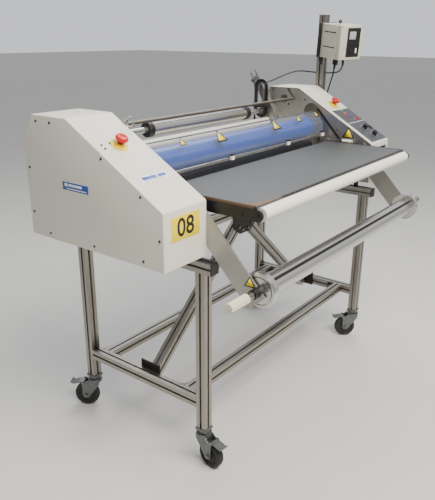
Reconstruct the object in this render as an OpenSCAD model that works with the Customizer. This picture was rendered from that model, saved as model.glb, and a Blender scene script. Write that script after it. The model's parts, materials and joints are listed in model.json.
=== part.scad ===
// Cold roll laminator on a wheeled stand of aluminium T-slot profile.
// X runs along the rolls, -Y is the feed side, +Z is up, z = 0 is the floor.

/* [Stand] */
// Side of the square T-slot profile
profile = 38.1; // [30:0.1:50]
// Half the width over the legs
leg_half = 620; // [500:1:700]
// Front face of the front legs
leg_front = -300; // [-350:1:-250]
// Rear face of the rear legs
leg_rear = 307; // [250:1:350]
// Underside of the legs, on the caster cups
leg_bottom = 146; // [120:1:180]
// Top of the legs, under the top rails
leg_top = 733; // [650:1:800]
// Top face of the lower rails
low_rail_top = 264; // [200:1:350]
// Centre of the front lower long rail
long_front_y = -196; // [-230:1:-120]
// Centre of the rear lower long rail
long_rear_y = 217; // [120:1:250]
// Overhang of the top rails past the legs
rail_overhang = 23; // [10:1:40]

/* [Casters] */
// Wheel diameter
wheel_d = 100; // [75:1:125]
// Wheel width
wheel_w = 30; // [20:1:40]
// Offset from swivel axis to wheel axis
trail = 36; // [25:1:45]

/* [Housings] */
// Half the width over the two housings
housing_half = 798; // [700:1:900]
// Width of one housing
housing_w = 192; // [150:1:230]
// Front face
housing_front = -296; // [-330:1:-250]
// Rear face
housing_rear = 316; // [280:1:350]
// Underside
housing_bottom = 793; // [760:1:820]
// Flat top
housing_top = 1200; // [1150:1:1250]
// Top of the front face, where the slope starts
slope_low = 972; // [940:1:1000]
// Back end of the slope
slope_back = 97; // [60:1:130]

/* [Rolls] */
// Diameter of the nip rolls
roll_d = 90; // [70:1:110]
// Length of the silicone sleeve
roll_len = 1110; // [1000:5:1130]
// Position of the nip rolls front to back
roll_y = 22; // [0:1:50]
// Height of the top roll axis
top_roll_z = 1029; // [1010:1:1050]

/* [Feed table] */
// Table width
table_w = 1143; // [1000:1:1160]
// Front edge
table_front = -455; // [-480:1:-400]
// Rear edge
table_rear = -92; // [-120:1:-70]
// Height of the table top
table_top = 972; // [950:1:990]
// Axis of the front idler roller
idler_y = -464; // [-480:1:-440]
// Height of that axis
idler_z = 945; // [930:1:955]

/* [Unwind mandrel] */
// Mandrel axis, front to back
mandrel_y = -488; // [-520:1:-450]
// Mandrel axis height
mandrel_z = 720; // [690:1:750]
// Mandrel tube diameter
mandrel_d = 72; // [60:1:76]
// Flange diameter
flange_d = 112; // [90:1:130]
// Width of the arm plates
arm_w = 76.2; // [60:0.1:90]

/* [Control box] */
// Case width
box_w = 134; // [120:1:160]
// Case depth
box_d = 141; // [100:1:160]
// Case height
box_h = 153; // [130:1:180]
// Forward tilt of the case
box_tilt = 5.2; // [3:0.1:7]
// Turn of the case towards the operator
box_yaw = 23.5; // [18:0.5:28]

/* [Hidden] */
$fn = 48;
eps = 0.01;
steel = [0.62, 0.62, 0.62];
alu = [0.70, 0.70, 0.68];
cream = [0.90, 0.89, 0.84];
black = [0.08, 0.08, 0.08];
screw_h = 2.4;
// limits of the object left and right, and front and back, for centring
x_min = -housing_half - screw_h;
x_max = 872.8;
y_min = mandrel_y - flange_d / 2;
y_max = 385.1;
x_off = -(x_min + x_max) / 2;
y_off = -(y_min + y_max) / 2;
module place() translate([x_off, y_off, 0]) children();

// stand
slot_w = 8.2;
slot_t = 9;
half_p = profile / 2;
leg_x = leg_half - half_p;
leg_fy = leg_front + half_p;
leg_ry = leg_rear - half_p;
rail_in = leg_half - profile;
top_rail_z = leg_top + profile;
top_rail_len = leg_rear - leg_front + 2 * rail_overhang;
top_rail_y = (leg_rear + leg_front) / 2;
brace_y = -2;
brace_angle = 41.7;
brace_apex = 722;
foot_t = 5;
brace_gap = 4;
cross_rear_y = 180;

module profile_2d() difference() {
  square(profile, center = true);
  for (a = [0:90:270]) rotate(a) translate([half_p - slot_t / 2 + eps, 0])
    square([slot_t, slot_w], center = true);
  circle(d = 7);
}
module bar_z(len) linear_extrude(len) profile_2d();
module bar_y(len) rotate([90, 0, 0]) linear_extrude(len, center = true) profile_2d();
module bar_x(len) rotate([0, 90, 0]) linear_extrude(len, center = true) profile_2d();

module legs() place() color(alu)
  for (x = [-leg_x, leg_x], y = [leg_fy, leg_ry])
    translate([x, y, leg_bottom]) bar_z(leg_top - leg_bottom);

module side_rails() place() color(alu)
  for (x = [-leg_x, leg_x]) {
    translate([x, (leg_fy + leg_ry) / 2, low_rail_top - half_p])
      bar_y(leg_ry - leg_fy - profile);
    translate([x, top_rail_y, leg_top + half_p]) bar_y(top_rail_len);
  }

module long_rails() place() color(alu) {
  for (y = [long_front_y, long_rear_y])
    translate([0, y, low_rail_top - half_p]) bar_x(2 * rail_in);
  for (y = [brace_y, cross_rear_y])
    translate([0, y, leg_top + half_p]) bar_x(2 * rail_in);
}

module brace() intersection() {
  translate([0, brace_y, brace_apex]) rotate([0, brace_angle, 0]) bar_x(2000);
  translate([brace_gap, brace_y - profile, low_rail_top - profile])
    cube([rail_in - foot_t - brace_gap, 2 * profile, leg_top - low_rail_top + profile]);
}
module braces() place() color(alu) {
  brace();
  mirror([1, 0, 0]) brace();
}

spacer_h = housing_bottom - top_rail_z;
gusset_t = 5;
corner_leg = 34;
module corner_bracket() linear_extrude(30, center = true)
  polygon([[0, 0], [corner_leg, 0], [corner_leg, 5], [9, 9], [5, corner_leg], [0, corner_leg]]);
module frame_plates() place() color([0.45, 0.43, 0.40]) {
  // gusset over the brace tops
  translate([0, brace_y - half_p, 0]) rotate([90, 0, 0]) linear_extrude(gusset_t)
    polygon([[-82, leg_top + 30], [82, leg_top + 30], [82, 690], [36, 656], [-36, 656], [-82, 690]]);
  for (s = [-1, 1]) {
    // foot plate of each brace
    translate([s * (rail_in - foot_t / 2), brace_y - 8, 258]) cube([foot_t, 92, 72], center = true);
    // spacers carrying the side frames on the top rails
    for (y = [-234, 0, 240]) translate([s * 612, y, top_rail_z]) cylinder(d = 20, h = spacer_h);
    // angles between the lower long rails and side rails
    for (y = [long_front_y, long_rear_y])
      translate([s * rail_in, y + half_p, low_rail_top - half_p])
        mirror([s > 0 ? 1 : 0, 0, 0]) corner_bracket();
    // inclined guide strips beside the shield
    translate([s * (housing_half - housing_w - 1.5), -76.5, 1049.5]) rotate([46.4, 0, 0])
      translate([0, 0, -5]) cube([3, 178, 10], center = true);
  }
}

cap_t = 4;
module rail_caps() place() color(black)
  for (x = [-leg_x, leg_x], s = [-1, 1])
    translate([x, top_rail_y + s * (top_rail_len / 2 + cap_t / 2), leg_top + half_p])
      cube([profile, cap_t, profile], center = true);

// casters: cup on the leg, fork turning below it, wheel and brake pedal
axle_z = wheel_d / 2;
cup_h = 20;
cup_z = leg_bottom - cup_h;
fork_top = cup_z - 1;
cheek_t = 3;
cheek_y = wheel_w / 2 + 3.5;
pedal_x = trail + 12;
pedal_z = fork_top - 20;
pedal_pin = 8;
yaw_fl = -96;
yaw_fr = 128;
yaw_rl = 122;
yaw_rr = 118;
function leg_pos(k) = k == 0 ? [-leg_x, leg_fy] : k == 1 ? [leg_x, leg_fy] :
  k == 2 ? [-leg_x, leg_ry] : [leg_x, leg_ry];
function yaw(k) = k == 0 ? yaw_fl : k == 1 ? yaw_fr : k == 2 ? yaw_rl : yaw_rr;
module at_caster(k) place() translate([leg_pos(k)[0], leg_pos(k)[1], 0]) rotate(yaw(k)) children();

module caster_cups() place() color([0.20, 0.20, 0.20])
  for (k = [0:3]) translate([leg_pos(k)[0], leg_pos(k)[1], cup_z]) {
    translate([-22, -22, cup_h / 2]) cube([44, 44, cup_h / 2]);
    cylinder(d = 40, h = cup_h / 2);
    translate([0, 0, -14]) cylinder(d = 11.9, h = 14 + eps);
  }

module fork() color([0.42, 0.43, 0.42]) {
  difference() {
    translate([0, 0, fork_top - 12]) cylinder(d = 56, h = 12);
    translate([0, 0, fork_top - 15]) cylinder(d = 12, h = 16);
  }
  for (s = [-1, 1]) translate([0, s * (cheek_y + cheek_t / 2), 0]) rotate([90, 0, 0])
    linear_extrude(cheek_t, center = true) difference() {
      union() {
        translate([pedal_x, pedal_z]) circle(d = 14);
        polygon([[-22, fork_top - 6], [-20, fork_top - 24], [trail - 14, axle_z - 6],
        [trail - 8, axle_z - 12], [trail + 8, axle_z - 12], [trail + 14, axle_z],
        [trail + 16, fork_top - 26], [24, fork_top - 6]]);
      }
      translate([pedal_x, pedal_z]) circle(d = pedal_pin + 0.1);
    }
  translate([trail, 0, axle_z]) rotate([90, 0, 0]) {
    cylinder(d = 10, h = 2 * cheek_y + 12, center = true);
    for (s = [-1, 1]) translate([0, 0, s * (cheek_y + cheek_t + 3)])
      cylinder(d = 17, h = 6, center = true, $fn = 6);
  }
}
module wheel() color([0.06, 0.06, 0.06]) translate([trail, 0, axle_z]) rotate([90, 0, 0])
  rotate_extrude($fn = 72) difference() {
    polygon([[5.08, -wheel_w / 2 - 1], [14, -wheel_w / 2 - 1], [14, -wheel_w / 2 + 4], [34, -wheel_w / 2 + 4],
      [36, -wheel_w / 2], [44, -wheel_w / 2], [48, -wheel_w / 2 + 4], [wheel_d / 2, -6], [wheel_d / 2, 6],
      [48, wheel_w / 2 - 4], [44, wheel_w / 2], [36, wheel_w / 2], [34, wheel_w / 2 - 4],
      [14, wheel_w / 2 - 4], [14, wheel_w / 2 + 1], [5.08, wheel_w / 2 + 1]]);
  }
module pedal() color([0.42, 0.43, 0.42]) translate([pedal_x, 0, pedal_z]) {
  rotate([90, 0, 0]) cylinder(d = pedal_pin, h = 2 * (cheek_y + cheek_t), center = true);
  rotate([90, 0, 0]) linear_extrude(34, center = true)
    polygon([[-2, 3.5], [16, 4], [42, -3], [50, 4], [53, 1], [43, -8], [14, -1], [0, -3.5]]);
}
module caster_fork_fl() at_caster(0) fork();
module caster_fork_fr() at_caster(1) fork();
module caster_fork_rl() at_caster(2) fork();
module caster_fork_rr() at_caster(3) fork();
module caster_wheel_fl() at_caster(0) wheel();
module caster_wheel_fr() at_caster(1) wheel();
module caster_wheel_rl() at_caster(2) wheel();
module caster_wheel_rr() at_caster(3) wheel();
module caster_pedal_fl() at_caster(0) pedal();
module caster_pedal_fr() at_caster(1) pedal();
module caster_pedal_rl() at_caster(2) pedal();
module caster_pedal_rr() at_caster(3) pedal();

// housings and the side frames inside them
inner_x = housing_half - housing_w;
rear_upper = 1114;
top_rear = 262;
skin = 2;
frame_t = 12;
shaft_d = 30;
bottom_roll_z = top_roll_z - roll_d - 0.6;
keyhole_z = 1092;
lift_travel = 20;
guide_y = 121;
guide_z = 1150;
guide_d = 12.7;
supply_y = 292;
supply_z = 1082;
supply_shaft_d = 25;
rear_idler_y = 268;
rear_idler_z = 1030;
fork_y = 229;
fork_z = 1053;
slope_angle = atan2(housing_top - slope_low, slope_back - housing_front);

// draws a shape given in the (y, z) plane as a plate from x0 to x1
module plate_x(x0, x1) translate([x0, 0, 0]) rotate([90, 0, 90]) linear_extrude(x1 - x0) children();
function frame_pts(i) = [[housing_front + i, housing_bottom], [housing_rear - i, housing_bottom],
  [housing_rear - i, rear_upper - i / 2], [top_rear - i / 2, housing_top - i],
  [slope_back + i / 4, housing_top - i], [housing_front + i, slope_low - i / 2]];

module side_frame(right) color([0.55, 0.55, 0.53]) plate_x(inner_x, inner_x + frame_t) difference() {
  polygon(frame_pts(5));
  // bottom roll bore and keyhole for the top roll
  translate([roll_y, bottom_roll_z]) circle(d = shaft_d + 0.1, $fn = 72);
  translate([roll_y, keyhole_z]) circle(r = 42, $fn = 72);
  translate([roll_y - shaft_d / 2 - 0.2, top_roll_z]) square([shaft_d + 0.4, keyhole_z - top_roll_z]);
  translate([roll_y, top_roll_z]) circle(d = shaft_d + 1, $fn = 72);
  // drop-in slot for the guide bar
  translate([guide_y, guide_z]) circle(d = guide_d + 0.1);
  translate([guide_y, guide_z]) rotate(50) translate([0, 0.2 - guide_d / 2]) square([90, guide_d - 0.4]);
  // rear notch for the supply mandrel
  translate([supply_y, supply_z]) circle(d = supply_shaft_d + 0.1);
  translate([supply_y, supply_z]) rotate(20) translate([0, 0.2 - supply_shaft_d / 2])
    square([60, supply_shaft_d - 0.4]);
  // window and tooling holes
  translate([176, 1146]) circle(r = 20);
  for (p = [[242, 1185], [150, 1120], [60, 1147], [-120, 1020]]) translate(p) circle(d = 10);
  translate([rear_idler_y, rear_idler_z]) circle(d = 12.1);
  translate([fork_y, fork_z]) circle(d = 14.1);
  translate([shield_hinge_y, shield_hinge_z]) circle(d = hinge_rod_d + 0.1);
  if (right) translate([lever_y, lever_z]) circle(d = 14.1);
}
module side_frame_left() place() mirror([1, 0, 0]) side_frame(false);
module side_frame_right() place() side_frame(true);

recess_x0 = inner_x + 26;
recess_w = 148;
recess_z0 = 846;
recess_h = 104;
panel_s0 = 196;
panel_len = 247;
panel_x0 = inner_x + 26;
panel_w = 161;
start_x = 746;
start_s = 284;
estop_x = 706;
estop_s = 156;
stem_d = 16;
// puts children on the slope: x across, y down the slope from its back end, z outward
module on_slope() translate([0, slope_back, housing_top]) rotate([slope_angle, 0, 0]) children();
module housing(right) color(cream) difference() {
  plate_x(inner_x, housing_half) polygon(frame_pts(0));
  translate([inner_x - eps, 0, 0]) plate_x(0, housing_w - skin)
    polygon([[housing_front + skin, housing_bottom + skin],
      [housing_rear - skin, housing_bottom + skin], [housing_rear - skin, rear_upper - skin / 2],
      [top_rear - skin / 2, housing_top - skin], [slope_back + skin / 4, housing_top - skin],
      [housing_front + skin, slope_low - skin / 2]]);
  // the side frame's foot passes through the floor of the cover
  translate([inner_x - 1, housing_front + skin, housing_bottom - 1])
    cube([frame_t + 1, housing_rear - housing_front - 2 * skin, skin + 2]);
  // slot that lets the supply shaft lift out to the rear
  translate([inner_x - 1, housing_rear - 20, supply_z - 14]) cube([frame_t + 9, 40, 46]);
  on_slope() translate([estop_x, -estop_s, -5]) cylinder(d = stem_d + 0.8, h = 10);
  if (right) {
    translate([recess_x0, housing_front - 1, recess_z0]) cube([recess_w, skin + 2, recess_h]);
    on_slope() translate([start_x, -start_s, -5]) cylinder(d = 14.8, h = 10);
  }
}
module housing_left() place() mirror([1, 0, 0]) housing(false);
module housing_right() place() housing(true);

screw_yz = [[172, 1180], [296, 1025], [296, 873], [217, 811], [1, 811], [-213, 811], [-280, 888], [-211, 1006],
  [-55, 1096], [240, 1180]];
module cover_screws() place() color([0.15, 0.15, 0.15])
  for (s = [-1, 1], p = screw_yz) translate([s * housing_half, p[0], p[1]]) rotate([0, s * 90, 0])
    cylinder(d1 = 9, d2 = 6, h = screw_h);

// nip rolls
module top_roll() place() color([0.10, 0.20, 0.50]) translate([0, roll_y, top_roll_z]) rotate([0, 90, 0])
  difference() {
    cylinder(d = roll_d, h = roll_len, center = true, $fn = 96);
    cylinder(d = 50, h = roll_len + 2, center = true);
  }
module core_shaft(d_core, len) rotate([0, 90, 0]) {
  cylinder(d = d_core, h = roll_len + 16, center = true);
  cylinder(d = shaft_d, h = len, center = true);
}
module top_roll_shaft() place() color(steel) translate([0, roll_y, top_roll_z]) core_shaft(50, 1310);
module bottom_roll() place() color(black) translate([0, roll_y, bottom_roll_z]) rotate([0, 90, 0])
  difference() {
    cylinder(d = roll_d, h = roll_len, center = true, $fn = 96);
    cylinder(d = 50, h = roll_len + 2, center = true);
  }
bottom_shaft_len = 1400;
module bottom_roll_shaft() place() color(steel) translate([0, roll_y, bottom_roll_z])
  core_shaft(50, bottom_shaft_len);
module lift_blocks() place() color([0.35, 0.35, 0.36])
  for (s = [-1, 1]) translate([s * (inner_x + frame_t + 15), roll_y, top_roll_z]) difference() {
    cube([28, 84, 60], center = true);
    rotate([0, 90, 0]) cylinder(d = shaft_d + 0.1, h = 40, center = true);
  }

// hinged clear shield over the nip, with its bar, clamps and lift lever
shield_pts = [[-10, 1101], [-56, 1053], [-58, 1004], [-54, 1004], [-52, 1051], [-7, 1098]];
shield_hinge_y = -6.5;
shield_hinge_z = 1101.7;
hinge_rod_d = 5.9;
bar_yc = -54;
bar_zc = 997;
bar_d = 12;
shield_half = 584;
module shield() place() color([0.80, 0.85, 0.90, 0.35]) plate_x(-shield_half, shield_half) polygon(shield_pts);
module shield_bar() place() color([0.75, 0.74, 0.70]) {
  translate([0, bar_yc, bar_zc]) rotate([0, 90, 0]) cylinder(d = bar_d, h = 2 * shield_half, center = true);
  // hinge rod on the back edge of the shield
  translate([0, shield_hinge_y, shield_hinge_z]) rotate([0, 90, 0])
    cylinder(d = hinge_rod_d, h = 2 * inner_x + frame_t, center = true);
}
clamp_x = [-574, -150, 262, 574];
module shield_clamps() place() color([0.92, 0.92, 0.90])
  for (x = clamp_x) translate([x, bar_yc - 4, bar_zc + 2]) difference() {
    translate([0, 0, 4]) cube([18, 15, 22], center = true);
    translate([0, 4, -2]) rotate([0, 90, 0]) cylinder(d = bar_d, h = 30, center = true);
    translate([-15, 0, 0]) cube([30, 20, 20]);
  }
lever_x = 594;
lever_y = -36;
lever_z = 976;
module lift_lever() place() color(steel) {
  translate([lever_x - 7, lever_y, lever_z]) rotate([0, 90, 0]) cylinder(d = 18, h = 14);
  translate([lever_x, lever_y, lever_z]) rotate([0, 90, 0]) cylinder(d = 14, h = 28);
  translate([lever_x, lever_y - 8, lever_z]) rotate([90, 0, 0]) cylinder(d = 7, h = 100);
  translate([lever_x, lever_y - 108, lever_z]) rotate([90, 0, 0]) cylinder(d = 11, h = 10);
  translate([lever_x, lever_y - 118, lever_z]) rotate([90, 0, 0]) cylinder(d = 14, h = 52);
}

// feed table
table_t = 13;
plate_in = table_w / 2 + 2;
plate_t = 6;
plate_h = 37;
idler_d = 42;
idler_half = 560;
lug_t = 5;
module feed_table() place() color([0.45, 0.46, 0.48]) {
  difference() {
    translate([-table_w / 2, table_front, table_top - table_t])
      cube([table_w, table_rear - table_front, table_t]);
    translate([0, idler_y, idler_z]) rotate([0, 90, 0])
      cylinder(d = idler_d + 2, h = table_w + 2, center = true);
  }
  // lugs that hinge on the roller pins
  for (s = [-1, 1]) plate_x(s > 0 ? idler_half + 1.5 : -idler_half - 1.5 - lug_t,
    s > 0 ? idler_half + 1.5 + lug_t : -idler_half - 1.5) difference() {
      union() {
        polygon([[idler_y - 8, idler_z - 6], [idler_y + 10, idler_z - 10], [-340, table_top - table_t],
          [table_front + 2, table_top - table_t]]);
        translate([idler_y, idler_z]) circle(d = 20);
      }
      translate([idler_y, idler_z]) circle(d = 12.1);
    }
}
plate_back = -130;
module table_side_plates() place() color(black)
  for (s = [-1, 1]) {
    plate_x(s > 0 ? plate_in : -plate_in - plate_t, s > 0 ? plate_in + plate_t : -plate_in) union() {
      translate([idler_y, idler_z]) circle(d = plate_h);
      translate([idler_y, idler_z - plate_h / 2]) square([plate_back - idler_y, plate_h]);
    }
    // pins for roller and table, and standoffs to the side frame
    translate([s * (plate_in - 13.8), idler_y, idler_z]) rotate([0, 90, 0])
      cylinder(d = 12, h = 28, center = true);
    // ledge under the board
    translate([s * (plate_in - 6.5), -170, table_top - table_t - 5]) cube([13, 60, 10], center = true);
    for (y = [-195, -145]) translate([s * (plate_in + plate_t + (inner_x - plate_in - plate_t) / 2), y, idler_z])
      rotate([0, 90, 0]) cylinder(d = 18, h = inner_x - plate_in - plate_t, center = true);
    translate([s * (plate_in + plate_t + 1.5), -408, idler_z - 3]) rotate([0, 90, 0])
      cylinder(d = 9, h = 3, center = true, $fn = 6);
    translate([s * (plate_in + plate_t + 1.5), idler_y, idler_z]) rotate([0, 90, 0])
      cylinder(d = 12, h = 3, center = true, $fn = 6);
  }
module idler_roller() place() color(cream) translate([0, idler_y, idler_z]) rotate([0, 90, 0]) difference() {
  cylinder(d = idler_d, h = 2 * idler_half, center = true, $fn = 64);
  for (s = [-1, 1]) translate([0, 0, s * idler_half]) cylinder(d = 12.1, h = 30, center = true);
}

// unwind arms and mandrel
arm_t = 6;
arm_dir = 45.9;
mandrel_shaft_d = 25;
module arm_2d() difference() {
  translate([-400, 773]) rotate(arm_dir) translate([-126, -arm_w / 2]) square([371, arm_w]);
  translate([mandrel_y, mandrel_z]) circle(d = mandrel_shaft_d + 0.1);
  translate([mandrel_y, mandrel_z]) rotate(arm_dir + 90) translate([0, -mandrel_shaft_d / 2 - 0.05])
    square([40, mandrel_shaft_d + 0.1]);
}
module unwind_arms() place() color([0.66, 0.66, 0.64])
  for (s = [-1, 1]) {
    plate_x(s > 0 ? inner_x - arm_t : -inner_x, s > 0 ? inner_x : arm_t - inner_x) arm_2d();
    for (p = [[-276, 872], [-250, 899]]) translate([s * (inner_x - arm_t - 2), p[0], p[1]]) rotate([0, 90, 0])
      cylinder(d = 14, h = 4, center = true);
  }
tube_half = 572;
flange_t = 24;
module mandrel_tube() place() color([0.80, 0.80, 0.79]) translate([0, mandrel_y, mandrel_z]) rotate([0, 90, 0])
  linear_extrude(2 * tube_half, center = true) difference() {
    circle(d = mandrel_d, $fn = 72);
    circle(d = 42);
    for (a = [0:120:240]) rotate(a + 219) translate([mandrel_d / 2, 0]) square([14, 10], center = true);
    for (a = [0:120:240]) rotate(a + 245) translate([mandrel_d / 2, 0]) square([3, 2.4], center = true);
  }
module mandrel_flanges() place() color([0.60, 0.60, 0.60])
  for (s = [-1, 1]) translate([s * (tube_half + flange_t / 2), mandrel_y, mandrel_z]) rotate([0, s * 90, 0])
    rotate_extrude($fn = 72) polygon([[mandrel_shaft_d / 2, -flange_t / 2], [flange_d / 2, -flange_t / 2],
      [flange_d / 2, flange_t / 2 - 6], [flange_d / 2 - 4, flange_t / 2 - 2], [46, flange_t / 2 - 2],
      [46, flange_t / 2 - 8], [42.5, flange_t / 2 - 8], [42.5, flange_t / 2 - 1],
      [mandrel_shaft_d / 2, flange_t / 2 - 1]]);
module ring_x(x, w, d_out) translate([x, 0, 0]) rotate([0, 90, 0]) difference() {
  cylinder(d = d_out, h = w, center = true);
  cylinder(d = mandrel_shaft_d, h = w + 2, center = true);
}
shaft_right = 738;
shaft_left = -662;
module mandrel_shaft() place() color(steel) translate([0, mandrel_y, mandrel_z]) {
  translate([shaft_left, 0, 0]) rotate([0, 90, 0]) cylinder(d = mandrel_shaft_d, h = shaft_right - shaft_left);
  translate([-620, 0, 0]) rotate([0, 90, 0]) cylinder(d = 31, h = 24, center = true);
  translate([640, 0, 0]) rotate([0, 90, 0]) cylinder(d = 36, h = 22, center = true);
  // thumb screw of the right collar
  translate([640, 0, 14]) cylinder(d = 8, h = 20);
  translate([640, 0, 33]) cylinder(d1 = 12, d2 = 18, h = 10);
}
knob_len = 88;
module mandrel_knob() place() color([0.86, 0.83, 0.74]) translate([shaft_left - knob_len, mandrel_y, mandrel_z])
  rotate([0, 90, 0]) linear_extrude(knob_len) difference() {
    circle(d = 32);
    for (a = [0:45:315]) rotate(a) translate([17.4, 0]) circle(d = 7, $fn = 24);
  }

// supply mandrel lying in the rear notches, guide bar and rear idler
module supply_mandrel() place() color([0.55, 0.55, 0.54]) translate([0, supply_y, supply_z]) {
  rotate([0, 90, 0]) cylinder(d = supply_shaft_d, h = 2 * (inner_x + frame_t + 6), center = true);
  translate([-222, 0, 0]) rotate([0, 90, 0]) linear_extrude(644) difference() {
    circle(d = 52, $fn = 64);
    circle(d = supply_shaft_d);
    for (a = [0:120:240]) rotate(a + 215) translate([26, 0]) square([8, 7], center = true);
  }
  for (x = [-236, 436]) translate([x, 0, 0]) rotate([0, 90, 0]) difference() {
    cylinder(d = 60, h = 24, center = true);
    cylinder(d = supply_shaft_d, h = 30, center = true);
  }
}
module guide_bar() place() color([0.50, 0.47, 0.43]) translate([0, guide_y, guide_z]) rotate([0, 90, 0])
  cylinder(d = guide_d, h = 2 * (inner_x + frame_t + 4), center = true);
module rear_idler() place() color(cream) translate([0, rear_idler_y, rear_idler_z]) rotate([0, 90, 0]) {
  cylinder(d = 38, h = 2 * inner_x - 8, center = true);
  cylinder(d = 12, h = 2 * (inner_x + frame_t + 2), center = true);
}

// swinging fork arms at the rear
fork_len = 235;
fork_w = 36;
notch_r = 10.5;
arm_x0 = inner_x - 10;
fork_tilt_right = 58.4;
fork_tilt_left = 150;
module fork_arm(tilt) color([0.58, 0.58, 0.57]) {
  plate_x(arm_x0, arm_x0 + 8) translate([fork_y, fork_z]) rotate(tilt) difference() {
    union() {
      circle(d = fork_w);
      translate([0, -fork_w / 2]) square([fork_len + 18, fork_w]);
    }
    translate([fork_len, 0]) circle(r = notch_r, $fn = 64);
    translate([fork_len, -notch_r]) square([30, 2 * notch_r]);
    for (s = [-1, 1]) translate([fork_len + 20, s * 20]) rotate(45) square(10, center = true);
  }
  translate([arm_x0 + 7, fork_y, fork_z]) rotate([0, 90, 0]) cylinder(d = 14, h = frame_t + 6);
  translate([arm_x0 - 5, fork_y, fork_z]) rotate([0, 90, 0]) cylinder(d = 19, h = 5.5, $fn = 6);
}
module fork_arm_left() place() mirror([1, 0, 0]) fork_arm(fork_tilt_left);
module fork_arm_right() place() fork_arm(fork_tilt_right);

// emergency stops on the slopes
module estop_at(s) place() translate([s * estop_x, 0, 0]) on_slope() translate([0, -estop_s, 0]) children();
module estop_bases() color([0.90, 0.80, 0.10]) for (s = [-1, 1]) estop_at(s) difference() {
  union() {
    cylinder(d = 58, h = 3);
    cylinder(d = 32, h = 9);
  }
  translate([0, 0, -1]) cylinder(d = stem_d + 0.1, h = 12);
}
module estop_button() color([0.75, 0.08, 0.06]) rotate_extrude($fn = 64) polygon([[0, 2], [stem_d / 2, 2],
  [stem_d / 2, 16], [14, 17], [20, 23], [21, 28], [19, 31.5], [14, 33], [9, 32], [6, 30.5], [0, 30]]);
module estop_button_left() estop_at(-1) estop_button();
module estop_button_right() estop_at(1) estop_button();

// operator panel on the right slope
module on_panel(x, s) place() on_slope() translate([x, -s, 0]) children();
panel_t = 2;
module control_panel() color([0.48, 0.49, 0.52]) on_panel(0, 0) difference() {
  translate([panel_x0, -panel_s0 - panel_len, 0]) cube([panel_w, panel_len, panel_t]);
  translate([start_x, -start_s, -1]) cylinder(d = 14.2, h = 4);
  for (p = [[719, 348], [727, 402]]) translate([p[0], -p[1], -1]) cylinder(d = 6.1, h = 4);
}
module dial_knob() color(black) difference() {
  union() {
    translate([0, 0, panel_t + 0.4]) cylinder(d = 26, h = 4);
    translate([0, 0, panel_t + 4]) cylinder(d1 = 23, d2 = 20, h = 13);
    translate([0, 0, 0.3]) cylinder(d = 6, h = 6);
  }
  translate([0, 7, panel_t + 17]) cube([2, 12, 2], center = true);
}
module speed_knob() on_panel(719, 348) dial_knob();
module pressure_knob() on_panel(727, 402) dial_knob();
module start_button() color([0.80, 0.08, 0.08]) on_panel(start_x, start_s) translate([0, 0, 0.5])
  cylinder(d = 14, h = 10);

// control box on its post beside the right housing
post_x = 829;
post_y = 101;
post_z0 = 880;
post_top = 1532;
bracket_w = 60;
bracket_h = 44;
module control_post() place() color(alu) {
  translate([post_x, post_y, post_z0]) bar_z(post_top - post_z0);
  for (z = [930, 1090]) translate([housing_half, post_y - bracket_w / 2, z])
    cube([post_x - half_p - housing_half, bracket_w, bracket_h]);
}
box_roll = -1.1;
box_corner = [750, 74, 1340];
back_plate_t = 14;
bezel_t = 3;
face_x = 40;
face_z = 12;
face_w = 78;
face_h = 130;
vent_h = 5;
// puts children in the frame of the tilted case: origin at its lower left back corner
module box_frame() translate(box_corner) rotate([box_tilt, 0, -box_yaw]) rotate([0, box_roll, 0]) children();
module control_box() place() {
  color([0.66, 0.66, 0.60]) box_frame() difference() {
    translate([0, -box_d, 0]) cube([box_w, box_d, box_h]);
    // face recess and the two vent slots of the left side
    translate([face_x, -box_d - 1, face_z]) cube([face_w, 1 + bezel_t, face_h]);
    for (z = [49, 116]) translate([-1, -106, z]) cube([4, 88, vent_h]);
  }
  // back plate, and the thumb screw on the top
  color(black) box_frame() translate([-3, 0, -2]) cube([box_w - 40, back_plate_t, box_h + 4]);
  color(black) box_frame() translate([30, -90, box_h]) {
    cylinder(d = 5, h = 10);
    translate([0, 0, 8]) cylinder(d1 = 20, d2 = 8, h = 15);
  }
  // arm from the back plate to the post, and the clamp knob below the back plate
  color(black) translate([post_x - 14, 30, 1380]) cube([28, post_y - half_p - 30, 60]);
  color(black) translate([768, 75, 1302]) cylinder(d1 = 12, d2 = 26, h = 42);
  // plug of the link cord and gland of the power cord
  color(black) translate([818, 18, 1345]) rotate([0, 193.4, 0]) {
    translate([-13, -9, 0]) cube([26, 18, 44]);
    cylinder(d1 = 14, d2 = 9, h = 65);
  }
  color(black) translate([821, -18, 1318]) cylinder(d = 14, h = 30);
}

// drive hidden in the left housing: right-angle gear motor on the bottom roll shaft
module gear_motor() place() color([0.30, 0.32, 0.34]) translate([-inner_x - frame_t, roll_y, bottom_roll_z]) {
  difference() {
    translate([-64, -55, -50]) cube([64, 110, 100]);
    rotate([0, 90, 0]) cylinder(d = shaft_d + 0.1, h = 200, center = true);
  }
  translate([-46, 55, 0]) rotate([-90, 0, 0]) cylinder(d = 84, h = 150);
  translate([-46, 205, 0]) rotate([-90, 0, 0]) cylinder(d = 70, h = 20);
}

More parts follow.
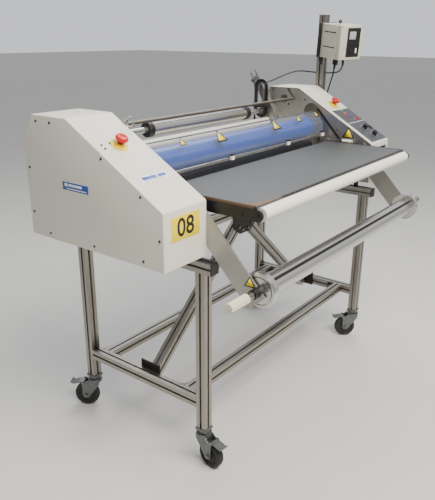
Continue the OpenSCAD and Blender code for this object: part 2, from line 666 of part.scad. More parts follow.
// cords: the power cord runs from the control box to a hank tied on the right fork arm
cord_d = 7;
ring_n = 8;
power_pts = [[821, -18, 1318], [821, -18, 1304], [823, -15, 1290], [830, -5, 1277], [842, 11, 1268],
  [854, 31, 1263], [862, 54, 1260], [865, 80, 1259], [864, 106, 1258], [854, 134, 1259], [834, 162, 1262],
  [808, 188, 1266], [780, 216, 1266], [746, 250, 1252], [710, 288, 1230], [674, 322, 1212], [640, 352, 1206],
  [612, 368, 1213], [593, 366, 1225], [578, 352, 1231], [569, 334, 1226], [568, 325, 1206]];
link_pts = [[803, 18, 1281], [801, 18, 1271], [800, 20, 1256], [802, 27, 1236], [804, 34, 1214], [806, 42, 1190],
  [808, 50, 1160], [808, 56, 1128], [805, 58, 1108], [798, 58, 1098]];
function cat4(p, i, t) = let (n = len(p) - 1, a = p[max(i - 1, 0)], b = p[i], c = p[min(i + 1, n)], d = p[min(i + 2, n)])
  0.5 * (2 * b + (c - a) * t + (2 * a - 5 * b + 4 * c - d) * t * t + (3 * b - 3 * c + d - a) * t * t * t);
function path(p, k) = [for (i = [0:len(p) - 2], j = [0:k - 1]) cat4(p, i, j / k), p[len(p) - 1]];
function unit(v) = v / norm(v);
function tangent(q, i) = unit(q[min(i + 1, len(q) - 1)] - q[max(i - 1, 0)]);
function side_vec(t) = unit(cross(t, abs(t[2]) > 0.8 ? [1, 0.3, 0] : [0, 0, 1]));
module tube(p, k, d) {
  q = path(p, k);
  n = len(q);
  pts = [for (i = [0:n - 1]) let (t = tangent(q, i), a = side_vec(t), b = cross(t, a))
    for (j = [0:ring_n - 1]) q[i] + d / 2 * (cos(j * 360 / ring_n) * a + sin(j * 360 / ring_n) * b)];
  faces = concat([[for (j = [0:ring_n - 1]) j]], [[for (j = [ring_n - 1:-1:0]) (n - 1) * ring_n + j]],
    [for (i = [0:n - 2], j = [0:ring_n - 1]) [i * ring_n + j, (i + 1) * ring_n + j,
      (i + 1) * ring_n + (j + 1) % ring_n, i * ring_n + (j + 1) % ring_n]]);
  polyhedron(pts, faces);
}
module power_cord() place() color(black) tube(power_pts, 2, cord_d);
module link_cord() place() color(black) tube(link_pts, 2, cord_d);
hank_x = 574;
hank_y = supply_y;
hank_hi = 1196;
hank_lo = 1086;
hank_r = 30;
hank_d = 20;
module hank_end() rotate_extrude(angle = 180) translate([hank_r, 0]) circle(d = hank_d, $fn = 32);
module cord_hank() place() color(black) translate([hank_x, hank_y, 0]) {
  translate([0, 0, hank_hi]) rotate([90, 0, 90]) hank_end();
  translate([0, 0, hank_lo]) rotate([90, 180, 90]) hank_end();
  for (s = [-1, 1]) translate([0, s * hank_r, hank_lo]) cylinder(d = hank_d, h = hank_hi - hank_lo, $fn = 32);
}
plug_y = 327;
plug_z = 988;
plug_h = 36;
module mains_plug() place() color(black) translate([hank_x, plug_y, plug_z]) {
  translate([-11, -16, 0]) cube([22, 32, plug_h]);
  translate([0, 0, plug_h - 1]) cylinder(d1 = 16, d2 = 9, h = 29);
}

legs();
side_rails();
long_rails();
braces();
frame_plates();
rail_caps();
caster_cups();
caster_fork_fl();
caster_fork_fr();
caster_fork_rl();
caster_fork_rr();
caster_wheel_fl();
caster_wheel_fr();
caster_wheel_rl();
caster_wheel_rr();
caster_pedal_fl();
caster_pedal_fr();
caster_pedal_rl();
caster_pedal_rr();
side_frame_left();
side_frame_right();
housing_left();
housing_right();
cover_screws();
top_roll();
top_roll_shaft();
bottom_roll();
bottom_roll_shaft();
lift_blocks();
shield();
shield_bar();
shield_clamps();
lift_lever();
feed_table();
table_side_plates();
idler_roller();
unwind_arms();
mandrel_tube();
mandrel_flanges();
mandrel_shaft();
mandrel_knob();
supply_mandrel();
guide_bar();
rear_idler();
fork_arm_left();
fork_arm_right();
estop_bases();
estop_button_left();
estop_button_right();
control_panel();
speed_knob();
pressure_knob();
start_button();
control_post();
control_box();
gear_motor();
power_cord();
link_cord();
cord_hank();
mains_plug();
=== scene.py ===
# Cold roll laminator on a wheeled T-slot stand: how it looks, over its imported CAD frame.
# Lengths in metres; X along the rolls, -Y the feed side, Z up, floor at z = 0.
import json
import math

import bmesh
import bpy
from mathutils import Matrix, Vector

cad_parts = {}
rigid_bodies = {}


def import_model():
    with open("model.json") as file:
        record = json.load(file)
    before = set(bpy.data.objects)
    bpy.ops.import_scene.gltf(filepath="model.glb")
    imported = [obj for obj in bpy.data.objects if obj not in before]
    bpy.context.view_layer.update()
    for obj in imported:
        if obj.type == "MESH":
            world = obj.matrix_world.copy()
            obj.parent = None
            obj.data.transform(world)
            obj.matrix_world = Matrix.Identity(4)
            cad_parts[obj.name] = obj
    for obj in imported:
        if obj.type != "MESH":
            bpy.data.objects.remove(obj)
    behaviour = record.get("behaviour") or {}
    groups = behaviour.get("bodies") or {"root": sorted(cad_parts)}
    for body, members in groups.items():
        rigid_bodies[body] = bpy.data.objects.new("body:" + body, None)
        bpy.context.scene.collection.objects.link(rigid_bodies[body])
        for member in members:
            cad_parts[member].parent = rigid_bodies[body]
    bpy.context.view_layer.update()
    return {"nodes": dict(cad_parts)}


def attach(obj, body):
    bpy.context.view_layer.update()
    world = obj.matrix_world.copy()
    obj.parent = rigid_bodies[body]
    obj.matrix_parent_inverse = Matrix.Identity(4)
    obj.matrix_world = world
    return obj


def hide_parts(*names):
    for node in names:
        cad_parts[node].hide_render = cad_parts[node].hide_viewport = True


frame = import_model()
SHIFT = Vector((-0.0362, 0.07945, 0.0))


# ---- Camera, light and floor -------------------------------------------------------------
# A standing eye at the front left corner, soft ceiling light, and a pale seamless floor.
def machine(x, y, z):
    """A point given in millimetres from the middle of the stand."""
    return Vector((x, y, z)) / 1000 + SHIFT


camera = bpy.data.objects.new("camera", bpy.data.cameras.new("camera"))
bpy.context.scene.collection.objects.link(camera)
camera.data.lens, camera.data.sensor_width = 42.25, 36
forward = Vector((0.7465, 0.5687, -0.3453)).normalized()
camera.location = machine(-1945.1, -1360.2, 1440.5)
camera.rotation_mode = "QUATERNION"
roll = Matrix.Rotation(math.radians(0.3), 4, "Z").to_quaternion()
camera.rotation_quaternion = forward.to_track_quat("-Z", "Y") @ roll
camera.data.clip_end = 100
bpy.context.scene.camera = camera


def linear(code):
    """An sRGB hex colour as the linear colour that the shaders work in."""
    parts = [int(code[i:i + 2], 16) / 255 for i in (0, 2, 4)]
    return [c / 12.92 if c < 0.04045 else ((c + 0.055) / 1.055) ** 2.4 for c in parts] + [1]


def add(tree, kind, inputs=None, **settings):
    """Adds one node; an input is a value or the output that feeds it."""
    node = tree.nodes.new(kind)
    for name, value in settings.items():
        setattr(node, name, value)
    for name, value in (inputs or {}).items():
        if isinstance(value, bpy.types.NodeSocket):
            tree.links.new(value, node.inputs[name])
        else:
            node.inputs[name].default_value = value
    return node


def surface(name, **sockets):
    """A new material: its tree, its shader and the object's own coordinates."""
    mat = bpy.data.materials.new(name)
    mat.use_nodes = True
    tree = mat.node_tree
    tree.nodes.clear()
    shader = add(tree, "ShaderNodeBsdfPrincipled", {k.replace("_", " "): v for k, v in sockets.items()})
    add(tree, "ShaderNodeOutputMaterial", {"Surface": shader.outputs[0]})
    place = add(tree, "ShaderNodeTexCoord").outputs["Object"]
    return mat, tree, shader, place


def noise(tree, at, scale, detail=2.0, rough=0.5):
    """A noise texture; its scale is in cycles per metre."""
    return add(tree, "ShaderNodeTexNoise", {"Vector": at, "Scale": scale, "Detail": detail, "Roughness": rough})


def tint(tree, shader, texture, dark, light):
    """Lets the base colour run between two tones with a texture."""
    tone = add(tree, "ShaderNodeMix", {"Factor": texture.outputs["Fac"], "A": linear(dark), "B": linear(light)},
               data_type="RGBA")
    tree.links.new(tone.outputs["Result"], shader.inputs["Base Color"])


def lamp(name, at, to, size, watts, colour):
    """A rectangular soft box aimed at a point."""
    light = bpy.data.lights.new(name, "AREA")
    light.shape, light.size, light.size_y = "RECTANGLE", size[0], size[1]
    light.energy, light.color = watts, linear(colour)[:3]
    ob = bpy.data.objects.new(name, light)
    ob.location = at
    ob.rotation_mode = "QUATERNION"
    ob.rotation_quaternion = (Vector(to) - Vector(at)).to_track_quat("-Z", "Y")
    bpy.context.scene.collection.objects.link(ob)


lamp("ceiling_a", (-0.8, -2.0, 3.4), (0, 0, 0.8), (2.6, 1.2), 260, "FFF9F0")
lamp("ceiling_b", (1.6, 1.4, 3.4), (0, 0, 0.8), (2.6, 1.2), 70, "F6F8FF")
world = bpy.data.worlds.new("room")
world.use_nodes = True
world.node_tree.nodes["Background"].inputs["Color"].default_value = linear("F2F4F8")
# the wall behind the machine is the brightest side of the room, the side behind the camera the darkest
way = add(world.node_tree, "ShaderNodeTexCoord").outputs["Generated"]
facing = add(world.node_tree, "ShaderNodeVectorMath", {0: way, 1: (0.79, 0.61, 0.0)}, operation="DOT_PRODUCT")
light = add(world.node_tree, "ShaderNodeMapRange", {"Value": facing.outputs["Value"], "From Min": -0.6,
                                                    "From Max": 0.9, "To Min": 0.3, "To Max": 0.95})
world.node_tree.links.new(light.outputs["Result"], world.node_tree.nodes["Background"].inputs["Strength"])
bpy.context.scene.world = world

floor_mat, tree, shader, place = surface("pale_floor", Roughness=0.55)
mottle = noise(tree, place, 3.0, 6.0, 0.6)
tint(tree, shader, mottle, "C9C8C4", "D2D1CD")


def piece(name, mesh, mat, body=None, smooth=35):
    """Turns a bmesh or a mesh into a piece with its material, and rides it on a body."""
    if isinstance(mesh, bmesh.types.BMesh):
        data = bpy.data.meshes.new(name)
        mesh.to_mesh(data)
        mesh.free()
        mesh = data
    ob = bpy.data.objects.new(name, mesh)
    bpy.context.scene.collection.objects.link(ob)
    mesh.materials.clear()
    mesh.materials.append(mat)
    mesh.shade_smooth()
    if smooth:
        mesh.set_sharp_from_angle(angle=math.radians(smooth))
    if body:
        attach(ob, body)
    return ob


ground = bmesh.new()
bmesh.ops.create_grid(ground, x_segments=2, y_segments=2, size=40)
floor = piece("floor", ground, floor_mat)


# ---- Cords -------------------------------------------------------------------------------
# The rubber-sheathed mains lead leaves the control box through a gland, crosses behind the right
# housing and is looped up at the rear fork arm; a short lead links the box to the right housing.
def vary(tree, shader, texture, low, high, socket="Roughness"):
    """Lets one input of the shader run between two values with a texture."""
    span = add(tree, "ShaderNodeMapRange", {"Value": texture.outputs["Fac"], "To Min": low, "To Max": high})
    tree.links.new(span.outputs["Result"], shader.inputs[socket])


def relief(tree, shader, texture, strength, depth):
    """Raises a texture from the surface, by a depth in metres."""
    bump = add(tree, "ShaderNodeBump", {"Height": texture.outputs["Fac"], "Strength": strength, "Distance": depth})
    tree.links.new(bump.outputs["Normal"], shader.inputs["Normal"])


cord_mat, tree, shader, place = surface("rubber_sheath", Roughness=0.5, Base_Color=linear("17171A"))
grime = noise(tree, place, 260.0, 3.0)
vary(tree, shader, grime, 0.42, 0.62)
relief(tree, shader, grime, 0.12, 0.0004)


def curve_points(points, steps):
    """Points along the smooth curve through the given ones."""
    out = []
    last = len(points) - 1
    for i in range(last):
        a, b, c, d = (Vector(points[max(0, min(last, k))]) for k in (i - 1, i, i + 1, i + 2))
        for j in range(steps):
            t = j / steps
            out.append(0.5 * (2 * b + (c - a) * t + (2 * a - 5 * b + 4 * c - d) * t * t
                              + (3 * b - 3 * c + d - a) * t ** 3))
    return out + [Vector(points[last])]


def cord_curve(name, points, radius, body="body"):
    """A round cord through the given points, as one open spline."""
    data = bpy.data.curves.new(name, "CURVE")
    data.dimensions, data.bevel_depth, data.bevel_resolution = "3D", radius, 5
    data.use_fill_caps = True
    spline = data.splines.new("POLY")
    spline.points.add(len(points) - 1)
    for p, q in zip(spline.points, points):
        p.co = (*q, 1)
    data.materials.append(cord_mat)
    ob = bpy.data.objects.new(name, data)
    bpy.context.scene.collection.objects.link(ob)
    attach(ob, body)
    return ob


lead_route = [(821, -18, 1318), (821, -18, 1304), (823, -15, 1290), (830, -5, 1277), (842, 11, 1268),
              (854, 31, 1263), (862, 54, 1260), (865, 80, 1259), (864, 106, 1258), (854, 134, 1259),
              (834, 162, 1262), (808, 188, 1266), (780, 216, 1266), (746, 250, 1252), (710, 288, 1230),
              (674, 322, 1212), (640, 352, 1206), (612, 368, 1213), (593, 366, 1225), (578, 352, 1231),
              (569, 334, 1226), (568, 325, 1206)]
# the looped hank: TURNS turns round an upright oval, each stepping one place on round the bundle
HANK_X, HANK_Y, HANK_TOP, HANK_LOW, HANK_R, STRAND = 574, 292, 1196, 1086, 30, 6.0
TURNS = 4
straight, bend = HANK_TOP - HANK_LOW, math.pi * HANK_R
loop = 2 * (straight + bend)


def hank_point(distance):
    """A point on the strands of the hank, a distance in millimetres from the top of its rear run."""
    d, spin = distance % loop, math.radians(162 + 72 * distance / loop)
    if d < straight:
        out, at = (1, 0), (HANK_Y, HANK_TOP - d)
    elif d < straight + bend:
        a = (straight - d) / HANK_R
        out, at = (math.cos(a), math.sin(a)), (HANK_Y, HANK_LOW)
    elif d < 2 * straight + bend:
        out, at = (-1, 0), (HANK_Y, HANK_LOW + d - straight - bend)
    else:
        a = math.pi - (d - 2 * straight - bend) / HANK_R
        out, at = (math.cos(a), math.sin(a)), (HANK_Y, HANK_TOP)
    r = HANK_R + STRAND * math.sin(spin)
    return machine(HANK_X + STRAND * math.cos(spin), at[0] + r * out[0], at[1] + r * out[1])


count = int(TURNS * loop / 9)
turns = [hank_point(8 + i * (TURNS * loop - 8) / count) for i in range(1, count + 1)]
# the last run leaves the hank straight down to the plug
tail = [machine(574, y, z) for y, z in ((328, 1180), (328, 1150), (328, 1110), (328, 1080), (327, 1052))]


def even(points, gap):
    """The same path with its points a constant gap apart."""
    out, left = [points[0]], gap
    for a, b in zip(points, points[1:]):
        span = (b - a).length
        at = left
        while at <= span:
            out.append(a.lerp(b, at / span))
            at += gap
        left = at - span
    if (points[-1] - out[-1]).length > gap * 0.3:
        out.append(points[-1])
    return out


lead_path = even(curve_points([machine(*p) for p in lead_route], 4) + turns + tail, 0.006)
JOIN, PASSES = 112, 12
for turn in range(PASSES):
    # slackens the free run and its way into the hank, so that no bend is tight
    near = zip(lead_path[1:JOIN - 1], lead_path[2:JOIN], lead_path[3:JOIN + 1])
    lead_path[2:JOIN] = [(a + 2 * b + c) / 4 for a, b, c in near]
mains_lead = cord_curve("mains_lead", lead_path, 0.0035)
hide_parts("power_cord", "cord_hank")
link_route = [(803, 18, 1281), (801, 18, 1271), (800, 20, 1256), (802, 27, 1236), (804, 34, 1214),
              (806, 42, 1190), (808, 50, 1160), (808, 56, 1128), (805, 58, 1108), (798, 58, 1098)]
link_path = even(curve_points([machine(*p) for p in link_route], 5), 0.006)
link_lead = cord_curve("link_lead", link_path, 0.0035)
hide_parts("link_cord")


def dress(mat, *nodes):
    """Gives CAD nodes their finish."""
    for name in nodes:
        data = frame["nodes"][name].data
        data.materials.clear()
        data.materials.append(mat)


dress(cord_mat, "mains_plug")


def apply(ob):
    """The object's mesh with its modifiers worked in, as a fresh mesh."""
    mesh = bpy.data.meshes.new_from_object(ob.evaluated_get(bpy.context.evaluated_depsgraph_get()))
    bpy.data.objects.remove(ob)
    return mesh


HERE = Matrix.Translation(SHIFT)


def block(low, high, at=HERE):
    """A box mesh between two corners in mm, in the frame `at`."""
    mesh = bmesh.new()
    bmesh.ops.create_cube(mesh, size=1)
    low, high = Vector(low) / 1000, Vector(high) / 1000
    put = at @ Matrix.Translation((low + high) / 2) @ Matrix.Diagonal((*(high - low), 1))
    bmesh.ops.transform(mesh, matrix=put, verts=mesh.verts)
    return mesh


def holding(mesh, name="part"):
    """A loose object that holds a bmesh, to put modifiers on."""
    data = bpy.data.meshes.new(name)
    mesh.to_mesh(data)
    mesh.free()
    ob = bpy.data.objects.new(name, data)
    bpy.context.scene.collection.objects.link(ob)
    return ob


def plate(name, low, high, mat, body, edge=0.6, at=HERE):
    """A flat part with small rounded edges, between two corners in mm."""
    ob = holding(block(low, high, at), name)
    bevel = ob.modifiers.new("edge", "BEVEL")
    bevel.width, bevel.segments = edge / 1000, 2
    made = piece(name, apply(ob), mat, body, smooth=40)
    return made


def turned(name, profile, start, along, mat, body, sides=40, at=HERE):
    """A turned part: (distance, radius) pairs in mm from start, along a direction."""
    mesh = bmesh.new()
    put = at @ Matrix.Translation(Vector(start) / 1000) @ Vector(along).to_track_quat("Z", "Y").to_matrix().to_4x4()
    rings = []
    for d, r in profile:
        rings.append([mesh.verts.new(put @ Vector((r * math.cos(a) / 1000, r * math.sin(a) / 1000, d / 1000)))
                      for a in (2 * math.pi * k / sides for k in range(sides))])
    for one, two in zip(rings, rings[1:]):
        for k in range(sides):
            mesh.faces.new((one[k], one[k - 1], two[k - 1], two[k]))
    mesh.faces.new(rings[0])
    mesh.faces.new(rings[-1])
    bmesh.ops.recalc_face_normals(mesh, faces=mesh.faces)
    made = piece(name, mesh, mat, body, smooth=35)
    return made


# a hook-and-loop strap round both runs of the hank, lying on the supply shaft
strap = bmesh.new()
STRAP_X, STRAP_Y, STRAP_ROUND = 12.5, 42.5, 9.0
rim = []
for sx, sy, start in ((1, 1, 0), (-1, 1, 90), (-1, -1, 180), (1, -1, 270)):
    for k in range(7):
        a = math.radians(start + 15 * k)
        rim.append((HANK_X + sx * (STRAP_X - STRAP_ROUND) + STRAP_ROUND * math.cos(a),
                    HANK_Y + sy * (STRAP_Y - STRAP_ROUND) + STRAP_ROUND * math.sin(a)))
low, high = ([strap.verts.new(machine(x, y, z)) for x, y in rim] for z in (1098, 1118))
for k in range(len(rim)):
    n = (k + 1) % len(rim)
    strap.faces.new((low[k], low[n], high[n], high[k]))
band = holding(strap, "hank_strap")
thick = band.modifiers.new("thick", "SOLIDIFY")
thick.thickness, thick.offset = 0.0016, 0
soft = band.modifiers.new("soft", "BEVEL")
soft.width, soft.segments = 0.0004, 2
strap = piece("hank_strap", apply(band), cord_mat, "body", smooth=40)


# ---- Stand -------------------------------------------------------------------------------
# Square T-slot bars, extruded in aluminium and clear anodised: a satin skin with fine die lines
# along each bar, and slots that stay dark. Bolted with dark angles, a gusset and foot plates.
def stretched(tree, place, scale):
    """Coordinates scaled separately along X, Y and Z."""
    return add(tree, "ShaderNodeMapping", {"Vector": place, "Scale": scale}).outputs["Vector"]


def extrusion(name, stretch):
    """Anodised aluminium bar with its die lines along one axis."""
    mat, tree, shader, place = surface(name, Metallic=1.0, Roughness=0.4)
    scaled = stretched(tree, place, stretch)
    lines = noise(tree, scaled, 1.0, 4.0, 0.7)
    cloud = noise(tree, place, 9.0, 4.0)
    tone = add(tree, "ShaderNodeMix", {"Factor": lines.outputs["Fac"], "A": linear("8E8B84"), "B": linear("B4B1AA")},
               data_type="RGBA")
    worn = add(tree, "ShaderNodeMix", {"Factor": cloud.outputs["Fac"], "A": tone.outputs["Result"],
                                       "B": linear("9C978D")}, data_type="RGBA")
    tree.links.new(worn.outputs["Result"], shader.inputs["Base Color"])
    vary(tree, shader, lines, 0.3, 0.48)
    relief(tree, shader, lines, 0.1, 0.0003)
    return mat


# die lines are about 0.7 mm apart across a bar and run its whole length
dress(extrusion("anodised_bar_upright", (1400, 1400, 6)), "legs", "control_post")
dress(extrusion("anodised_bar_deep", (1400, 6, 1400)), "side_rails")
dress(extrusion("anodised_bar_wide", (6, 1400, 1400)), "long_rails", "braces")

dark_steel, tree, shader, place = surface("blackened_steel", Metallic=0.7, Roughness=0.5)
patch = noise(tree, place, 60.0, 6.0, 0.65)
tint(tree, shader, patch, "1E1C1A", "463F38")
dress(dark_steel, "frame_plates")

black_plastic, tree, shader, place = surface("moulded_black", Roughness=0.5, Base_Color=linear("161617"))
grit = noise(tree, place, 900.0, 2.0)
vary(tree, shader, grit, 0.38, 0.6)
relief(tree, shader, grit, 0.15, 0.0003)
dress(black_plastic, "rail_caps")

bolt_steel, tree, shader, place = surface("zinc_bolt", Metallic=1.0, Roughness=0.36)
spot = noise(tree, place, 500.0, 2.0)
tint(tree, shader, spot, "7C7B78", "A4A29E")


def head_tree():
    """Geometry Nodes: a round socket head with a hex recess on every point, facing along its axis."""
    tree = bpy.data.node_groups.new("socket_heads", "GeometryNodeTree")
    face = tree.interface
    face.new_socket("Points", in_out="INPUT", socket_type="NodeSocketGeometry")
    face.new_socket("Head width", in_out="INPUT", socket_type="NodeSocketFloat")
    face.new_socket("Head height", in_out="INPUT", socket_type="NodeSocketFloat")
    face.new_socket("Sides", in_out="INPUT", socket_type="NodeSocketInt")
    face.new_socket("Finish", in_out="INPUT", socket_type="NodeSocketMaterial")
    face.new_socket("Heads", in_out="OUTPUT", socket_type="NodeSocketGeometry")
    given = add(tree, "NodeGroupInput").outputs
    radius = add(tree, "ShaderNodeMath", {0: given["Head width"], 1: 0.5}, operation="MULTIPLY").outputs[0]
    rise = add(tree, "ShaderNodeMath", {0: given["Head height"], 1: 0.5}, operation="MULTIPLY").outputs[0]
    sink = add(tree, "ShaderNodeMath", {0: given["Head height"], 1: -0.6}, operation="MULTIPLY").outputs[0]
    disc = add(tree, "GeometryNodeMeshCircle", {"Vertices": given["Sides"], "Radius": radius}, fill_type="NGON")
    shape, top = disc.outputs["Mesh"], None
    for lift, size in ((rise, 1.0), (rise, 0.78), (0.0, 0.58), (sink, 1.0)):
        inputs = {"Mesh": shape, "Offset Scale": lift, "Individual": False}
        if top is not None:
            inputs["Selection"] = top
        grown = add(tree, "GeometryNodeExtrudeMesh", inputs, mode="FACES")
        shape, top = grown.outputs["Mesh"], grown.outputs["Top"]
        if size != 1.0:
            scaled = add(tree, "GeometryNodeScaleElements", {"Geometry": shape, "Selection": top, "Scale": size})
            shape = scaled.outputs["Geometry"]
    axis = add(tree, "GeometryNodeInputNamedAttribute", {"Name": "axis"}, data_type="FLOAT_VECTOR").outputs["Attribute"]
    turn = add(tree, "FunctionNodeAlignRotationToVector", {"Vector": axis}, axis="Z").outputs["Rotation"]
    placed = add(tree, "GeometryNodeInstanceOnPoints", {"Points": given["Points"], "Instance": shape, "Rotation": turn})
    real = add(tree, "GeometryNodeRealizeInstances", {"Geometry": placed.outputs["Instances"]})
    coloured = add(tree, "GeometryNodeSetMaterial", {"Geometry": real.outputs["Geometry"], "Material": given["Finish"]})
    add(tree, "NodeGroupOutput", {"Heads": coloured.outputs["Geometry"]})
    return tree


heads = head_tree()


def screws(name, places, width, height, mat, body, sides=12):
    """Screw heads at (point in mm, direction) places, as one plain mesh on one body."""
    data = bpy.data.meshes.new(name + "_places")
    data.from_pydata([machine(*p) for p, _ in places], [], [])
    axis = data.attributes.new("axis", "FLOAT_VECTOR", "POINT")
    for item, (_, way) in zip(axis.data, places):
        item.vector = way
    seed = bpy.data.objects.new(name + "_places", data)
    bpy.context.scene.collection.objects.link(seed)
    modifier = seed.modifiers.new("heads", "NODES")
    modifier.node_group = heads
    values = {"Head width": width / 1000, "Head height": height / 1000, "Sides": sides, "Finish": mat}
    for item in heads.interface.items_tree:
        if item.name in values:
            modifier[item.identifier] = values[item.name]
    solid = bpy.data.meshes.new_from_object(seed.evaluated_get(bpy.context.evaluated_depsgraph_get()))
    bpy.data.objects.remove(seed)
    ob = piece(name, solid, mat, body, smooth=30)
    return ob


frame_bolts = [((x, -25.9 - 0.1, z), (0, -1, 0))
               for x, z in ((-66, 752), (66, 752), (0, 752), (-46, 688), (46, 688), (-20, 672), (20, 672))]
for side in (-1, 1):
    frame_bolts += [((side * 576.9, y, 282), (-side, 0, 0)) for y in (-42, 24)]
    for y in (-196, 217):
        frame_bolts += [((side * (581.9 - 20), y + 19.05 + 5, 245), (0, 1, 0)),
                        ((side * (581.9 - 5), y + 19.05 + 20, 245), (-side, 0, 0))]
screws("frame_bolts", frame_bolts, 13, 6, bolt_steel, "body")


# ---- Casters -----------------------------------------------------------------------------
# Pressed zinc-plated forks and brake pedals, dull grey with darker handling, on black rubber
# wheels moulded round a hub.
zinc, tree, shader, place = surface("dull_zinc_plate", Metallic=0.85, Roughness=0.5)
bloom = noise(tree, place, 70.0, 6.0, 0.7)
tint(tree, shader, bloom, "4F5250", "8C908E")
vary(tree, shader, bloom, 0.38, 0.6)
CORNERS = ("fl", "fr", "rl", "rr")
dress(zinc, "caster_cups", *["caster_fork_" + c for c in CORNERS], *["caster_pedal_" + c for c in CORNERS])

tread, tree, shader, place = surface("black_rubber_tread", Roughness=0.72)
dust = noise(tree, place, 90.0, 5.0)
tint(tree, shader, dust, "151515", "33312F")
relief(tree, shader, dust, 0.25, 0.0006)
dress(tread, *["caster_wheel_" + c for c in CORNERS])


# ---- Side frames and housings ------------------------------------------------------------
# Milled aluminium side plates, and over them folded sheet covers with small bend radii, coated in
# a fine textured cream enamel.
mill, tree, shader, place = surface("milled_aluminium_plate", Metallic=0.95, Roughness=0.42)
scaled = stretched(tree, place, (60, 60, 900))
cuts = noise(tree, scaled, 1.0, 4.0)
haze = noise(tree, place, 14.0, 5.0)
tint(tree, shader, haze, "97948D", "B9B7B1")
vary(tree, shader, cuts, 0.32, 0.52)
relief(tree, shader, cuts, 0.08, 0.0003)
dress(mill, "side_frame_left", "side_frame_right", "unwind_arms", "fork_arm_left", "fork_arm_right")

enamel, tree, shader, place = surface("cream_textured_enamel", Roughness=0.5, Coat_Weight=0.08, Coat_Roughness=0.3)
# a sprayed leather-like texture, about 0.8 mm across, drawn slightly coarse so that it shows
pebble = noise(tree, place, 750.0, 2.0)
age = noise(tree, place, 4.5, 6.0, 0.62)
tint(tree, shader, age, "CECABD", "DCD9CD")
vary(tree, shader, age, 0.42, 0.58)
relief(tree, shader, pebble, 0.12, 0.0003)

FRONT, REAR, BOTTOM, TOP = -296, 316, 793, 1200
SLOPE_LOW, SLOPE_BACK, INNER, OUTER = 972, 97, 606, 798
outline = [(FRONT, BOTTOM), (REAR, BOTTOM), (REAR, 1114), (262, TOP), (SLOPE_BACK, TOP), (FRONT, SLOPE_LOW)]


def cover(name, side, cuts):
    """A folded 2 mm sheet cover, open towards its side frame and below, with boxes cut from it."""
    mesh = bmesh.new()
    outer = [mesh.verts.new(machine(side * OUTER, y, z)) for y, z in outline]
    inner = [mesh.verts.new(machine(side * INNER, y, z)) for y, z in outline]
    mesh.faces.new(outer)
    # every side but the first, the underside, which stays open
    for i in range(1, len(outline)):
        j = (i + 1) % len(outline)
        mesh.faces.new((outer[j], outer[i], inner[i], inner[j]))
    bmesh.ops.recalc_face_normals(mesh, faces=mesh.faces)
    mesh.faces.ensure_lookup_table()
    if mesh.faces[0].normal.x * side < 0:
        bmesh.ops.reverse_faces(mesh, faces=mesh.faces)
    folds = [e for e in mesh.edges if len(e.link_faces) == 2]
    bmesh.ops.bevel(mesh, geom=folds, offset=0.0035, segments=4, profile=0.5, affect="EDGES")
    ob = holding(mesh, name)
    wall = ob.modifiers.new("wall", "SOLIDIFY")
    wall.thickness, wall.offset = 0.002, -1
    for low, high in cuts:
        tool = holding(block(low, high), name + "_tool")
        cut = ob.modifiers.new("cut", "BOOLEAN")
        cut.object, cut.operation, cut.solver = tool, "DIFFERENCE", "EXACT"
    data = apply(ob)
    for tool in [o for o in bpy.data.objects if o.name.startswith(name + "_tool")]:
        bpy.data.objects.remove(tool)
    made = piece(name, data, enamel, "body", smooth=40)
    return made


def notch(side):
    """The box cut from a cover so that the supply shaft lifts out to the rear."""
    low, high = sorted((side * (INNER - 5), side * (INNER + 21)))
    return ((low, REAR - 20, 1068), (high, REAR + 20, 1114))


left_cover = cover("left_cover", -1, [notch(-1)])
right_cover = cover("right_cover", 1, [notch(1), ((632, FRONT - 10, 846), (780, FRONT + 10, 950))])
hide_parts("housing_left")
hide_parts("housing_right")

# a dark flush panel stands a little inside the right cover's front opening
dark_sheet, tree, shader, place = surface("black_enamel_sheet", Roughness=0.45)
mist = noise(tree, place, 40.0, 5.0)
tint(tree, shader, mist, "0A0A0B", "19191A")
grain = noise(tree, place, 800.0)
relief(tree, shader, grain, 0.1, 0.0003)


plate("front_opening_back", (628, FRONT + 12, 842), (784, FRONT + 14, 954), dark_sheet, "body")
dress(black_plastic, "cover_screws")

# stick-on labels, blank but for a generic number, and small dark plugs in the left slope
label_blue, tree, shader, place = surface("blue_printed_label", Roughness=0.36)
fade = noise(tree, place, 60.0, 4.0)
tint(tree, shader, fade, "21428F", "3459A8")
label_white, tree, shader, place = surface("white_printed_label", Roughness=0.4)
fade = noise(tree, place, 60.0, 4.0)
tint(tree, shader, fade, "D8DAE0", "E9EAEC")
pitch = math.atan2(TOP - SLOPE_LOW, SLOPE_BACK - FRONT)
SLOPE = Matrix.Translation(machine(0, SLOPE_BACK, TOP)) @ Matrix.Rotation(pitch, 4, "X")
# on the slope: x across, minus the distance down from its back end, height off its face
plate("side_label", (-OUTER - 0.5, 11, 976), (-OUTER, 132, 1002), label_blue, "body", 0.1)
for k, (y0, y1, z0, z1) in enumerate(((108, 122, 988, 998), (40, 104, 989, 997), (20, 112, 980, 983))):
    plate("side_label_bar_" + str(k), (-OUTER - 0.7, y0, z0), (-OUTER - 0.5, y1, z1), label_white, "body",
          0.05)
plate("slope_label", (-757, -327, 0), (-642, -301, 0.4), label_white, "body", 0.1, SLOPE)
for k, (x0, x1, s0, s1) in enumerate(((-750, -690, 306, 318), (-684, -650, 306, 318), (-748, -662, 321, 323))):
    plate("slope_label_bar_" + str(k), (x0, -s1, 0.4), (x1, -s0, 0.6), label_blue, "body", 0.05, SLOPE)
plugs = [((x, SLOPE_BACK - d * 0.865, TOP - d * 0.5018), (0, -0.5018, 0.865))
         for x, d in ((-767, 143), (-767, 161), (-733, 141))]
screws("slope_plugs", plugs, 8, 2, black_plastic, "body")


